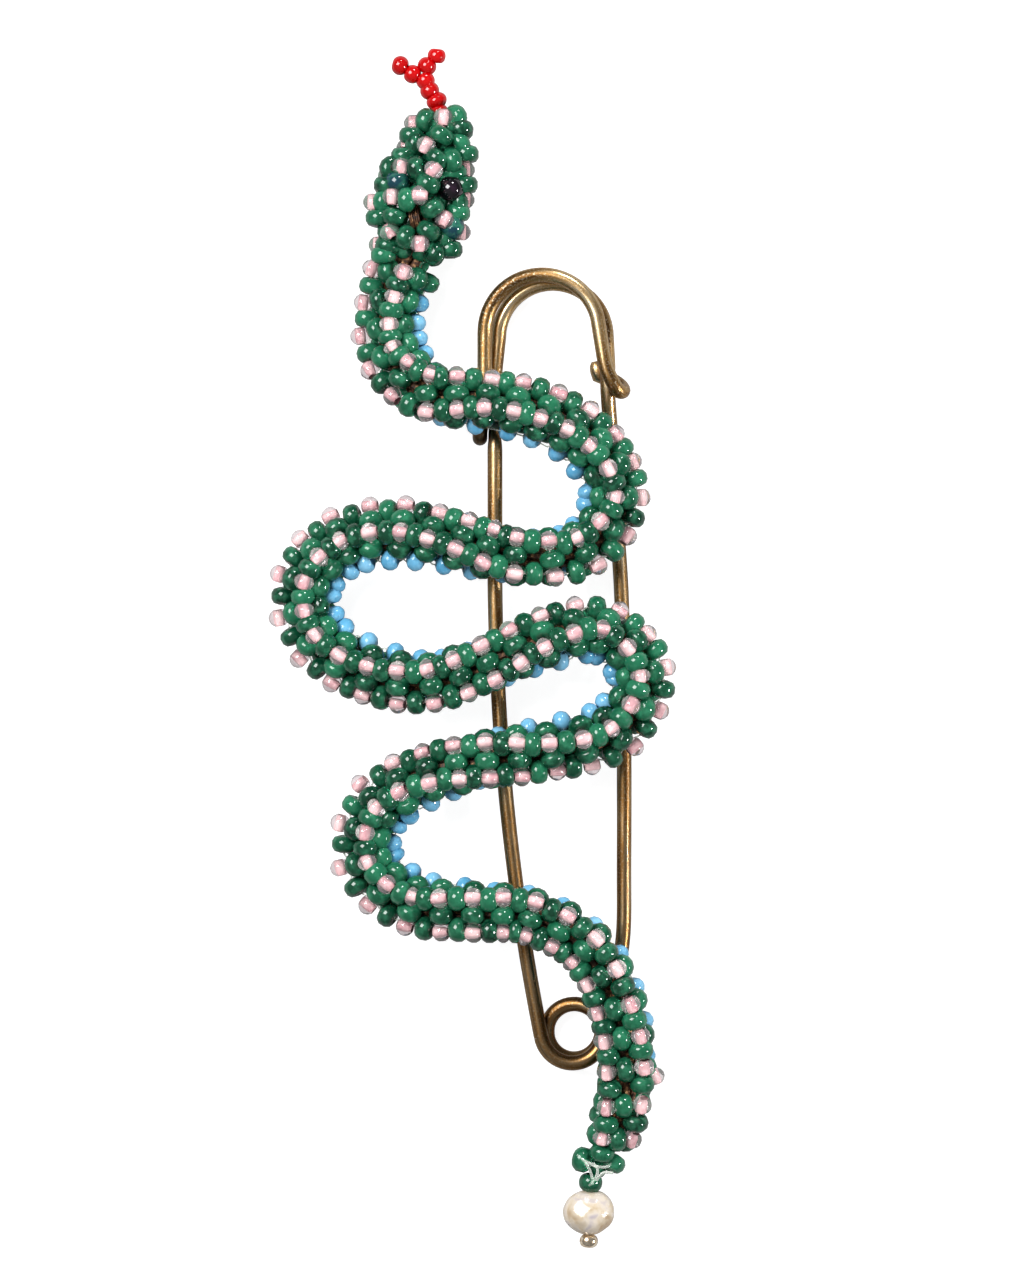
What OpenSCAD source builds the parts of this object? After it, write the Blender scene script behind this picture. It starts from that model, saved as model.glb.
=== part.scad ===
// Beaded snake brooch on a kilt pin, lying face up.
// X to the right and Y towards the tongue as seen from the front, Z up out of the face.
// The brooch rests on Z = 0, and its outline is centred on X = Y = 0. Millimetres.

/* [Pin] */
// Diameter of the brass wire
wire_d = 1.4; // [1.3:0.05:1.4]
// Diameter of the spring coil where it meets the fixed bar, along the wire's middle
coil_d = 5.3; // [5.0:0.1:5.5]
// Length of the straight shank below the point
shank_l = 6; // [5:0.2:8]
// Length of the tapered point
point_l = 3.2; // [2.8:0.1:3.3]
// Width of the back arch along the wire's middle
back_arch_w = 10.1; // [9.8:0.1:10.4]
// Width of the front arch along the wire's middle
front_arch_w = 10.7; // [10.5:0.1:11.0]

/* [Beads] */
// Diameter of a green bead
bead_d = 2.3; // [2.1:0.05:2.3]
// Length of a green bead along its hole
bead_l = 1.6; // [1.4:0.05:1.7]
// Diameter of a pink-lined bead
pink_d = 1.85; // [1.7:0.05:1.9]
// Diameter of a blue bead
blue_d = 1.9; // [1.8:0.05:1.95]
// Distance between neighbouring edge rows of the woven rope
weave_w = 3.2; // [3.0:0.05:3.2]

/* [Head] */
// Diameter of the round eye beads
eye_d = 2.15; // [1.9:0.05:2.2]
// Diameter of a red tongue bead
tongue_bead_d = 1.45; // [1.3:0.05:1.45]
// Length of a red tongue bead along its hole
tongue_bead_l = 0.96; // [0.8:0.02:0.96]

/* [Tail] */
// Width of the pearl
pearl_w = 4.5; // [4:0.1:4.6]
// Height of the pearl along its hole
pearl_h = 4; // [3.8:0.1:4]
// Diameter of the brass end bead
end_bead_d = 1.5; // [1.4:0.05:1.6]
// Length of the brass end bead along its hole
end_bead_l = 0.95; // [0.8:0.05:1]

/* [Hidden] */

gap = 0.05;
wire_r = wire_d / 2;
wire_sides = 16;

// The wire lies in two layers: the fixed bar behind, the needle in front
layer = wire_d + gap;
rear_z = wire_r;
front_z = rear_z + layer;

// Needle: a straight shank, drawn a little thinner below, and one slow curve down to the coil
shank_top = [1.9, 18.8, front_z];
thin_l = 4.8;
thin_r = wire_r - 0.01;
needle_curve_r = 228;
needle_turn = 11.2;
shoulder_l = 0.8;
shoulder_r = 0.62;
point_lean = [-0.4, point_l - shoulder_l, -0.5];
point_tip_r = 0.1;
needle_end = [
    shank_top.x + needle_curve_r * (1 - cos(needle_turn)),
    shank_top.y - shank_l - thin_l - needle_curve_r * sin(needle_turn)
];

// Coil: a loose spiral that starts in line with the needle and drops behind it over the top
coil_r = coil_d / 2;
coil_start_r = 3.05;
coil_waist_r = 2.45;
coil_lean = 2;
coil_start = 180 + needle_turn - coil_lean;
coil_waist = 540;
coil_end = 720;
coil_c = needle_end - coil_start_r * [cos(coil_start), sin(coil_start)];
coil_drop_start = 370;
coil_drop_end = 550;
coil_step = 15;
coil_short = 1;

// Fixed bar: from the coil up to the arch, rising over its last stretch so that the wrap passes behind it
bar_top_z = front_z;
bar_rows = [
    [coil_c.x + coil_r, coil_c.y, rear_z],
    [coil_c.x + coil_r + 0.02, coil_c.y + 1.3, rear_z],
    [13, -31.5, rear_z],
    [13.9, -27, rear_z],
    [14, -20, rear_z],
    [14, -8, rear_z],
    [13.8, 4, rear_z],
    [13.4, 11, rear_z],
    [13.1, 16.5, rear_z + 0.15],
    [12.7, 21, rear_z + 0.75],
    [12.45, 24.4, bar_top_z],
    [12.5, 26.5, bar_top_z]
];

// Back arch, inner leg, turn at the catch, outer leg and front arch
back_arch_c = [7.3, 29.25];
front_arch_c = [6.3, 29.7];
front_arch_end = 15;
arch_step = 15;
catch_c = [0.5, 20.5];
inner_leg = [1.9, 25.9];
outer_leg = [0.95, 26.1];
leg_down = [12.1, 27.2];

// Finishing wrap of the wire round the fixed bar
wrap_c = [12.45, bar_top_z];
wrap_r = wire_d + gap;
wrap_y = [26.2, 24.15, 25.5];
wrap_start = -5;
wrap_low = 70;
wrap_end = 215;
wrap_tip = [11.6, 26.8, rear_z + 0.25];

// Rope: one row at every second bead unit from the snout to the tail.
// x, y, z of its middle, roll of its back in degrees, widths across and through as shares of the plain rope
first_unit = -8;
row_step = 2;
rope_rows = [
    [-3.3, 50.3, 3.0, 40, 0.62, 0.55],
    [-3.3, 46.4, 3.4, 40, 1.00, 0.92],
    [-4.5, 42.0, 3.8, 40, 1.40, 1.08],
    [-5.7, 37.5, 3.7, 43, 1.22, 1.04],
    [-7.6, 32.7, 3.3, 46, 1.2, 1],
    [-7.5, 27.9, 3.6, 47, 1.2, 1],
    [-4.5, 24.1, 5.3, 10, 1.05, 1],
    [1.0, 22.9, 6.1, -35, 1, 1],
    [6.2, 21.8, 5.9, -39, 1.07, 1],
    [10.7, 18.9, 5.0, -47, 1.1, 1],
    [12.9, 14.1, 4.5, -50, 1.08, 1],
    [9.9, 9.5, 5.1, -23, 1, 1],
    [4.0, 8.7, 6.0, 0, 1, 1],
    [-1.6, 9.8, 5.8, 35, 1, 1],
    [-7.0, 10.6, 4.4, 53, 1.07, 1],
    [-12.0, 9.8, 3.1, 56, 1.1, 1],
    [-15.2, 6.3, 2.9, 56, 1.1, 1],
    [-14.4, 1.5, 2.9, 54, 1.05, 1],
    [-10.0, -1.7, 3.6, 43, 1.05, 1],
    [-4.3, -2.9, 5.2, 20, 1, 1],
    [1.3, -1.3, 6.0, -2, 1, 1],
    [6.5, 0.7, 5.9, -35, 1, 1],
    [11.8, 1.6, 5.0, -52, 1.03, 1],
    [15.4, -2.4, 4.5, -46, 1.06, 1],
    [12.8, -7.4, 4.9, -43, 1.06, 1],
    [7.1, -9.0, 6.0, -38, 1, 1],
    [1.2, -10.2, 6.0, -3, 1, 1],
    [-4.3, -12.0, 5.0, 38, 1, 1],
    [-8.9, -15.0, 3.3, 53, 1.06, 1],
    [-9.7, -19.8, 2.9, 51, 1.08, 1],
    [-5.9, -23.4, 3.7, 37, 1.06, 1],
    [-0.3, -24.2, 5.5, 18, 1, 1],
    [5.4, -24.8, 6.0, 8, 1.08, 1],
    [10.5, -27.7, 6.0, 8, 1.1, 1],
    [13.5, -33.1, 6.0, 10, 1.1, 1],
    [14.2, -39.4, 4.8, 0, 1.02, 0.96],
    [13.0, -45.5, 3.1, -15, 0.78, 0.85],
    [11.2, -49.1, 2.6, -15, 0.50, 0.70]
];
snout_unit = -8;
neck_unit = -1;
tail_unit = 65;
unit_half = 0.5;
neck_gap = 0.05;

// Section of the rope: edge rows at the four corners, cross beads on the four faces
edge_r = weave_w / sqrt(2);
edge_out = edge_r + bead_d / 2;
pink_out = edge_r + 0.14 + pink_d / 2;
blue_out = edge_r - 0.4 + blue_d / 2;
belly_gap = edge_r + 0.25;
face_a = 14;
face_out = (weave_w / 2 + bead_d / 2) / cos(face_a);
side_bulge = 0.15;
face_dip = 0.4;
section_points = 12;

// Eyes: middle of each bead
eye_front_at = [-2.05, 42.9, 5.4];
eye_back_at = [-6.7, 42.9, 1.4];
eye_hole_d = 0.5;

// Tongue: middles of the beads, stem from the snout and two branches
tongue_z = 3.0;
tongue_stem = [[-3.2, 50.2], [-3.4, 51.25], [-4.05, 52.15], [-4.5, 53.15]];
tongue_fork = [-4.72, 53.7];
tongue_left = [[-5.7, 53.75], [-6.85, 54.5]];
tongue_right = [[-4.3, 54.5], [-3.4, 55.5]];
tongue_root = [-3.3, 49.2];
tongue_hole_d = 0.6;
thread_r = 0.1;
thread_sides = 8;

// Tail: last green bead, pearl and end bead on one thread
tail_thread_top = [11.8, -47.4, 2.8];
tail_bead_at = [10.85, -49.9, 2.5];
pearl_at = [10.7, -52.95, 2.3];
end_bead_at = [10.65, -55.5, 2.3];
bead_hole_d = 0.8;
pearl_hole_d = 0.6;

// A twelve-sided ball reaches less far between its corners
pocket_grow = 1 / pow(cos(15), 2);

function unit_v(v) = v / norm(v);
function mix(a, b, f) = a + (b - a) * f;

// Smooth curve through rows of numbers, f counts rows
function curve(rows, f) =
    let(
        i = min(max(floor(f), 0), len(rows) - 2),
        t = f - i,
        a = rows[max(i - 1, 0)],
        b = rows[i],
        c = rows[i + 1],
        d = rows[min(i + 2, len(rows) - 1)]
    )
    0.5 * (2 * b + (c - a) * t + (2 * a - 5 * b + 4 * c - d) * t * t + (3 * b - a - 3 * c + d) * t * t * t);

// Directions across a path, carried along it without twist
function path_dir(p, i) = unit_v(p[min(i + 1, len(p) - 1)] - p[max(i - 1, 0)]);
function carried(v, t) = unit_v(v - (v * t) * t);
function across(p, i, v) =
    let(w = carried(v, path_dir(p, i)))
    i == len(p) - 1 ? [w] : concat([w], across(p, i + 1, w));

// Triangles that close a tube of rings, n points each
function tube_faces(rings, n) = concat(
    [[for (j = [0:n - 1]) j]],
    [for (i = [0:rings - 2], j = [0:n - 1]) [i * n + j, (i + 1) * n + (j + 1) % n, i * n + (j + 1) % n]],
    [for (i = [0:rings - 2], j = [0:n - 1]) [i * n + j, (i + 1) * n + j, (i + 1) * n + (j + 1) % n]],
    [[for (j = [n - 1:-1:0]) (rings - 1) * n + j]]
);

module wire(p, r, n, first) {
    side = across(p, 0, first);
    rings = [
        for (i = [0:len(p) - 1], j = [0:n - 1])
            let(t = path_dir(p, i), s = side[i], u = cross(t, s), a = 360 * j / n)
            p[i] + r * (cos(a) * s + sin(a) * u)
    ];
    polyhedron(rings, tube_faces(len(p), n), convexity = 10);
}

// A twelve-sided cut between two points, for a thread
module thread_cut(a, b, r) {
    v = b - a;
    translate(a)
        rotate([0, acos(v.z / norm(v)), atan2(v.y, v.x)])
        cylinder(r = r, h = norm(v), $fn = 12);
}

// A pocket for a round bead
module pocket(at, d) {
    translate(at) sphere(d = (d + 2 * gap) * pocket_grow, $fn = 12);
}

// A bead: a ball cut to its length and drilled, its hole along v
module bead(d, l, hole, v) {
    rotate([0, acos(v.z / norm(v)), atan2(v.y, v.x)])
        difference() {
            intersection() {
                sphere(d = d, $fn = 48);
                cube([2 * d, 2 * d, l], center = true);
            }
            cylinder(d = hole, h = 2 * d, center = true, $fn = 24);
        }
}

function arc(c, r, a0, a1, step, z0, z1) =
    let(n = ceil(abs(a1 - a0) / step))
    [for (i = [0:n]) let(f = i / n, a = mix(a0, a1, f)) [c.x + r * cos(a), c.y + r * sin(a), mix(z0, z1, f)]];

bar_path = [for (i = [0:1 / 3:len(bar_rows) - 1]) curve(bar_rows, i)];
back_arch = arc(back_arch_c, back_arch_w / 2, 0, 180, arch_step, bar_top_z, rear_z);
inner_path = [[inner_leg.x, inner_leg.y, rear_z], [catch_c.x + 0.35, catch_c.y + 1.3, rear_z]];
catch_turn = [
    for (a = [0:30:180])
        [catch_c.x, catch_c.y - layer / 2 * sin(a), (rear_z + front_z) / 2 - layer / 2 * cos(a)]
];
outer_path = [[catch_c.x + 0.15, catch_c.y + 1.3, front_z], [outer_leg.x, outer_leg.y, front_z]];
front_arch = arc(
    front_arch_c, front_arch_w / 2, 180, front_arch_end, arch_step,
    front_z, bar_top_z + wrap_r - 0.1
);
leg_path = [[leg_down.x, leg_down.y, wrap_c.y + wrap_r]];

// Height of the wrap along the bar: down to the lowest point at wrap_low, then up behind the bar
function wrap_height(a) = a < wrap_low
    ? mix(wrap_y[0], wrap_y[1], sin(90 * (a - wrap_start) / (wrap_low - wrap_start)))
    : mix(wrap_y[1], wrap_y[2], 1 - cos(90 * (a - wrap_low) / (wrap_end - wrap_low)));
wrap_path = [
    for (a = [wrap_start:(wrap_end - wrap_start) / 12:wrap_end + 1])
        [wrap_c.x + wrap_r * sin(a), wrap_height(a), wrap_c.y + wrap_r * cos(a)]
];

frame_path = concat(
    bar_path, back_arch, inner_path, catch_turn, outer_path,
    front_arch, leg_path, wrap_path, [wrap_tip]
);

// Fixed bar, both arches, the catch and the finishing wrap, one bent wire
module pin_frame() {
    color("darkgoldenrod") wire(frame_path, wire_r, wire_sides, [1, 0, 0]);
}

function coil_reach(a) = a < coil_waist
    ? mix(coil_start_r, coil_waist_r, (a - coil_start) / (coil_waist - coil_start))
    : mix(coil_waist_r, coil_r, (a - coil_waist) / (coil_end - coil_waist));
function coil_z(a) =
    let(f = (a - coil_drop_start) / (coil_drop_end - coil_drop_start))
    mix(front_z, rear_z, min(max(f, 0), 1));

// Spring coil: one and a half turns from the needle to the fixed bar, square to both at its ends
module pin_coil() {
    n = round((coil_end - coil_start) / coil_step);
    a0 = coil_start + coil_short;
    a1 = coil_end - coil_short;
    stops = concat([a0], [for (i = [0:n]) mix(a0 + 1, a1 - 1, i / n)], [a1]);
    path = [
        for (a = stops)
            let(r = coil_reach(a))
            [coil_c.x + r * cos(a), coil_c.y + r * sin(a), coil_z(a)]
    ];
    color("darkgoldenrod") wire(path, wire_r, wire_sides, [0, 0, 1]);
}

// Needle: point, shoulder, straight shank and the slow curve down to the coil
module pin_needle() {
    color("darkgoldenrod")
        translate(shank_top) {
            rotate([90, 0, 0]) cylinder(r = wire_r, h = shank_l, $fn = 48);
            translate([0, shoulder_l, 0])
                rotate([90, 0, 0])
                cylinder(r1 = shoulder_r, r2 = wire_r, h = shoulder_l, $fn = 48);
            translate([0, shoulder_l - 0.15, 0])
                rotate([0, acos(point_lean.z / norm(point_lean)), atan2(point_lean.y, point_lean.x)])
                cylinder(r1 = shoulder_r - 0.02, r2 = point_tip_r, h = norm(point_lean), $fn = 48);
            translate([0, -shank_l, 0])
                rotate([90, 0, 0])
                cylinder(r1 = wire_r, r2 = thin_r, h = thin_l, $fn = 48);
            translate([needle_curve_r, -shank_l - thin_l, 0])
                rotate([0, 0, 180])
                rotate_extrude(angle = needle_turn, $fn = 720)
                translate([needle_curve_r, 0])
                circle(r = thin_r, $fn = 48);
        }
}

function rope_at(u) = curve(rope_rows, (u - first_unit) / row_step);
function rope_mid(u) = let(r = rope_at(u)) [r[0], r[1], r[2]];
function rope_dir(u) = unit_v(rope_mid(u + 0.1) - rope_mid(u - 0.1));

// Reach of the section's point k at a whole unit (cross beads, pinks) or between units (edge beads)
function reach(k, whole) =
    k % 3 > 0
        ? face_out + (k > 3 && k < 6 || k > 9 ? side_bulge : 0) - (whole ? 0 : face_dip)
        : k < 6
            ? (whole ? pink_out : edge_out)
            : (whole ? belly_gap : blue_out);
function section_angle(k) = 90 * floor(k / 3) + [-45, -face_a, face_a][k % 3];

function rope_ring(u, whole) =
    let(
        r = rope_at(u),
        t = rope_dir(u),
        s = unit_v(cross(t, [0, 0, 1])),
        up = cross(s, t)
    )
    [
        for (k = [0:section_points - 1])
            let(a = r[3] + section_angle(k), q = reach(k, whole))
            rope_mid(u) + q * sin(a) * r[4] * s + q * cos(a) * r[5] * up
    ];

module rope(units) {
    rings = [for (u = units) each rope_ring(u, abs(u - round(u)) < 0.1)];
    polyhedron(rings, tube_faces(len(units), section_points), convexity = 20);
}

// Woven rope of green, pink-lined and blue seed beads, from the neck to the tail, open for the tail's thread
module snake_body() {
    color("seagreen")
        difference() {
            rope([for (u = [neck_unit:unit_half:tail_unit]) u]);
            thread_cut(tail_thread_top, tail_bead_at, bead_hole_d / 2);
        }
}

// Broad beaded head with a pocket for each eye bead, the tongue's first bead and its thread
module snake_head() {
    color("seagreen")
        difference() {
            rope([for (u = [snout_unit:unit_half:neck_unit]) u < neck_unit ? u : neck_unit - neck_gap]);
            pocket(eye_front_at, eye_d);
            pocket(eye_back_at, eye_d);
            pocket(lifted(tongue_stem[0]), tongue_bead_d);
            thread_cut(lifted(tongue_root), lifted(tongue_stem[1]), tongue_hole_d / 2);
        }
}

module eye(at) {
    color("indigo") translate(at) bead(eye_d, eye_d, eye_hole_d, [0, 1, 0]);
}

function lifted(p) = [p.x, p.y, tongue_z];
tongue_lines = [
    concat([tongue_root], tongue_stem, [tongue_fork]),
    concat([tongue_fork], tongue_left, [2 * tongue_left[1] - tongue_left[0]]),
    concat([tongue_fork], tongue_right, [2 * tongue_right[1] - tongue_right[0]])
];

// Line and place along it of each of the eight red beads
tongue_places = [[0, 1], [0, 2], [0, 3], [0, 4], [1, 1], [1, 2], [2, 1], [2, 2]];

module tongue_bead(i) {
    line = tongue_lines[tongue_places[i][0]];
    k = tongue_places[i][1];
    color("red")
        translate(lifted(line[k]))
        bead(tongue_bead_d, tongue_bead_l, tongue_hole_d, concat(line[k + 1] - line[k - 1], [0]));
}

// Thread of the forked tongue: the stem with the left branch, and the right branch from the fork
module tongue_thread() {
    stem = [for (k = [0:len(tongue_lines[0]) - 1]) lifted(tongue_lines[0][k])];
    ends = [
        for (line = [tongue_lines[1], tongue_lines[2]])
            [for (k = [1:3]) lifted(k < 3 ? line[k] : mix(line[2], line[3], 0.5))]
    ];
    right = concat([stem[len(stem) - 1] - [0, 0.1, 0]], ends[1]);
    color("white") {
        wire(concat(stem, ends[0]), thread_r, thread_sides, [0, 0, 1]);
        wire(right, thread_r, thread_sides, [0, 0, 1]);
    }
}

// Thread from the tail through the last bead, the pearl and the end bead
module tail_thread() {
    thread_end = end_bead_at - [0, end_bead_l / 2 + 0.2, 0];
    stops = [tail_thread_top, tail_bead_at, pearl_at, end_bead_at, thread_end];
    color("white") wire(stops, thread_r, thread_sides, [0, 0, 1]);
}

module tail_bead() {
    color("seagreen") translate(tail_bead_at) bead(bead_d, bead_l, bead_hole_d, pearl_at - tail_thread_top);
}

// Freshwater pearl, a little lopsided, drilled along its short axis
module pearl() {
    r = pearl_h / 2;
    color("ivory")
        translate(pearl_at)
        difference() {
            hull() {
                translate([(pearl_w - pearl_h) / 2, 0, 0]) sphere(r = r - 0.15, $fn = 28);
                translate([-(pearl_w - pearl_h) / 2, 0.15, 0]) sphere(r = r - 0.15, $fn = 28);
                translate([0, -0.1, 0]) sphere(r = r - 0.05, $fn = 28);
            }
            rotate([90, 0, 0]) cylinder(d = pearl_hole_d, h = 2 * pearl_h, center = true, $fn = 24);
        }
}

module end_bead() {
    color("gold") translate(end_bead_at) bead(end_bead_d, end_bead_l, pearl_hole_d, [0, 1, 0]);
}

pin_frame();
pin_coil();
pin_needle();
snake_body();
snake_head();
eye(eye_front_at);  // eye_front
eye(eye_back_at);  // eye_back
tongue_thread();
tongue_bead(0);  // tongue_bead_1
tongue_bead(1);  // tongue_bead_2
tongue_bead(2);  // tongue_bead_3
tongue_bead(3);  // tongue_bead_4
tongue_bead(4);  // tongue_bead_5
tongue_bead(5);  // tongue_bead_6
tongue_bead(6);  // tongue_bead_7
tongue_bead(7);  // tongue_bead_8
tail_thread();
tail_bead();
pearl();
end_bead();
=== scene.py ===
import math
import random
import bpy
from mathutils import Matrix, Vector


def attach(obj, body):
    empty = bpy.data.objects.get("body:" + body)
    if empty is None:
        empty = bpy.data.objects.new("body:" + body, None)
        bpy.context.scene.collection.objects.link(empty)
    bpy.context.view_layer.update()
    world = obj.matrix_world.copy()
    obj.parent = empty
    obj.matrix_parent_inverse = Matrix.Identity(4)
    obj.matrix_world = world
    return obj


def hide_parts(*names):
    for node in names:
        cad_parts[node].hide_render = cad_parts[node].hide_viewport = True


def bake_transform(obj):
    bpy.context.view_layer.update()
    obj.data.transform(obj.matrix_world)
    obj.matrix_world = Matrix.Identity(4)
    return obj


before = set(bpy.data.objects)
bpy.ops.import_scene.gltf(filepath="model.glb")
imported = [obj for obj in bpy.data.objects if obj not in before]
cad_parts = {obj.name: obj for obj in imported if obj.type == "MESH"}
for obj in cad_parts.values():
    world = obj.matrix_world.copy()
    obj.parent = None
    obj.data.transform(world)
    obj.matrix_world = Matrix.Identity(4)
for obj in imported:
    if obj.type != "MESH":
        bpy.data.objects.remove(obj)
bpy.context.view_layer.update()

mm = 0.001
bpy.ops.object.select_all(action="DESELECT")

# Camera: straight down on the brooch as it lies on the table
shot = {
    "aimX": 3.50, "aimY": 0.89, "aimZ": 4.0, "height": 900, "frameHeight": 119.55,  # in millimetres
    "sensor": 36, "nearest": 0.01, "farthest": 10
}
bpy.ops.object.camera_add(
    location=(shot["aimX"] * mm, shot["aimY"] * mm, (shot["aimZ"] + shot["height"]) * mm), rotation=(0, 0, 0)
)
camera = bpy.context.object
camera.name = "camera"
camera.data.sensor_width = shot["sensor"]
camera.data.lens = shot["sensor"] * shot["height"] / shot["frameHeight"]
camera.data.clip_start = shot["nearest"]
camera.data.clip_end = shot["farthest"]
bpy.context.scene.camera = camera
print("camera ready")


# Colour and material helpers
def colour(hexText):
    parts = [int(hexText[i:i + 2], 16) / 255 for i in (0, 2, 4)]
    return tuple(p / 12.92 if p <= 0.04045 else ((p + 0.055) / 1.055) ** 2.4 for p in parts) + (1,)


def newMaterial(name):
    material = bpy.data.materials.new(name)
    material.use_nodes = True
    material.node_tree.nodes.clear()
    return material


def addNode(material, kind, inputs=None, stops=None, **settings):
    node = material.node_tree.nodes.new(kind)
    for key, value in settings.items():
        setattr(node, key, value)
    for key, value in (inputs or {}).items():
        if isinstance(value, bpy.types.NodeSocket):
            material.node_tree.links.new(value, node.inputs[key])
        else:
            node.inputs[key].default_value = value
    if stops:
        for place, _ in stops[2:]:
            node.color_ramp.elements.new(place)
        for element, (place, shade) in zip(node.color_ramp.elements, stops):
            element.position = place
            element.color = colour(shade)
    return node


# Soft noise from 0 to 1, with grains of one size
def noise(material, place, grain, detail, distortion=0):
    inputs = {"Vector": place, "Scale": 1 / grain, "Detail": detail, "Distortion": distortion}
    return addNode(material, "ShaderNodeTexNoise", inputs).outputs["Fac"]


def ramp(material, value, stops):
    return addNode(material, "ShaderNodeValToRGB", {"Fac": value}, stops).outputs["Color"]


# A value of one range turned into another range, and held there
def ranged(material, value, given, wanted):
    inputs = {"Value": value, "From Min": given[0], "From Max": given[1], "To Min": wanted[0], "To Max": wanted[1]}
    return addNode(material, "ShaderNodeMapRange", inputs).outputs["Result"]


# A colour laid over another by its share
def overlaid(material, share, base, over):
    return addNode(material, "ShaderNodeMix", {0: share, 6: base, 7: colour(over)}, data_type="RGBA").outputs[2]


def bump(material, height, strength, depth):
    inputs = {"Height": height, "Strength": strength, "Distance": depth}
    return addNode(material, "ShaderNodeBump", inputs).outputs["Normal"]


def finished(material, inputs):
    shader = addNode(material, "ShaderNodeBsdfPrincipled", inputs)
    addNode(material, "ShaderNodeOutputMaterial", {"Surface": shader.outputs[0]})
    return material


# Opaque glass of a seed bead, fire polished: a glossy skin with soft paler clouds of 0.8 mm in the colour,
# and shallow dimples of 0.4 mm. Each bead's own shade is in its beadTone.
def opaqueGlass(name, tones, veil, roughness):
    material = newMaterial(name)
    place = addNode(material, "ShaderNodeTexCoord").outputs["Object"]
    tone = addNode(material, "ShaderNodeAttribute", attribute_name="beadTone").outputs["Fac"]
    clouds = ranged(material, noise(material, place, 0.8 * mm, 3), (0.44, 0.72), (0.0, 0.6))
    skin = overlaid(material, clouds, ramp(material, tone, tones), veil)
    relief = bump(material, noise(material, place, 0.4 * mm, 1), 0.1, 0.02 * mm)
    return finished(material, {"Base Color": skin, "Roughness": roughness, "IOR": 1.52, "Normal": relief})


greenGlass = opaqueGlass(
    "greenOpaqueGlass",
    [(0.0, "032b1c"), (0.45, "0e4931"), (0.8, "1b6446"), (0.97, "1b6446"), (1.0, "103642")], "368361", 0.08
)
blueGlass = opaqueGlass(
    "blueOpaqueGlass", [(0.0, "4e96bd"), (0.5, "60a5cb"), (1.0, "7ab6d7")], "8cc4e4", 0.10
)
redGlass = opaqueGlass("redOpaqueGlass", [(0.0, "a40002"), (0.5, "ae0003"), (1.0, "b80104")], "b00204", 0.06)


# Dark amethyst glass: nearly black, with plum-coloured swirls of 1.2 mm where light gets in
def amethystGlass():
    material = newMaterial("darkAmethystGlass")
    place = addNode(material, "ShaderNodeTexCoord").outputs["Object"]
    swirls = noise(material, place, 1.2 * mm, 2)
    depth = ramp(material, swirls, [(0.35, "050306"), (0.55, "0c060e"), (0.75, "200f1f")])
    return finished(material, {"Base Color": depth, "Roughness": 0.05, "IOR": 1.52, "Coat Weight": 0.4})


eyeGlass = amethystGlass()


# Clear glass and clear nylon, a little milky, with ripples of 0.5 mm. They let lamp light through, so that
# what they cover isn't left in shade.
def clearMaterial(name, tint, clearness, roughness, ior):
    material = newMaterial(name)
    place = addNode(material, "ShaderNodeTexCoord").outputs["Object"]
    relief = bump(material, noise(material, place, 0.5 * mm, 1), 0.1, 0.03 * mm)
    glass = addNode(
        material, "ShaderNodeBsdfPrincipled",
        {
            "Base Color": colour(tint), "Roughness": roughness, "IOR": ior, "Transmission Weight": clearness,
            "Normal": relief
        }
    )
    unlit = addNode(material, "ShaderNodeBsdfTransparent")
    lampRay = addNode(material, "ShaderNodeLightPath").outputs["Is Shadow Ray"]
    shader = addNode(material, "ShaderNodeMixShader", {0: lampRay, 1: glass.outputs[0], 2: unlit.outputs[0]})
    addNode(material, "ShaderNodeOutputMaterial", {"Surface": shader.outputs[0]})
    return material


clearGlass = clearMaterial("clearBeadGlass", "e2d7d9", 0.86, 0.02, 1.5)
nylon = clearMaterial("clearNylonThread", "e9ece6", 0.80, 0.10, 1.53)


# Pink lining painted inside the hole of a clear bead: matt and milky, with paler patches of 0.5 mm
def liningPaint():
    material = newMaterial("pinkHoleLining")
    place = addNode(material, "ShaderNodeTexCoord").outputs["Object"]
    tone = addNode(material, "ShaderNodeAttribute", attribute_name="beadTone").outputs["Fac"]
    base = ramp(material, tone, [(0.0, "9c5e68"), (0.5, "b6858a"), (1.0, "ceaaaa")])
    patches = ranged(material, noise(material, place, 0.5 * mm, 2), (0.40, 0.72), (0.1, 0.7))
    skin = overlaid(material, patches, base, "e6ccca")
    return finished(material, {"Base Color": skin, "Roughness": 0.6, "IOR": 1.5})


pinkLining = liningPaint()


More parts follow.
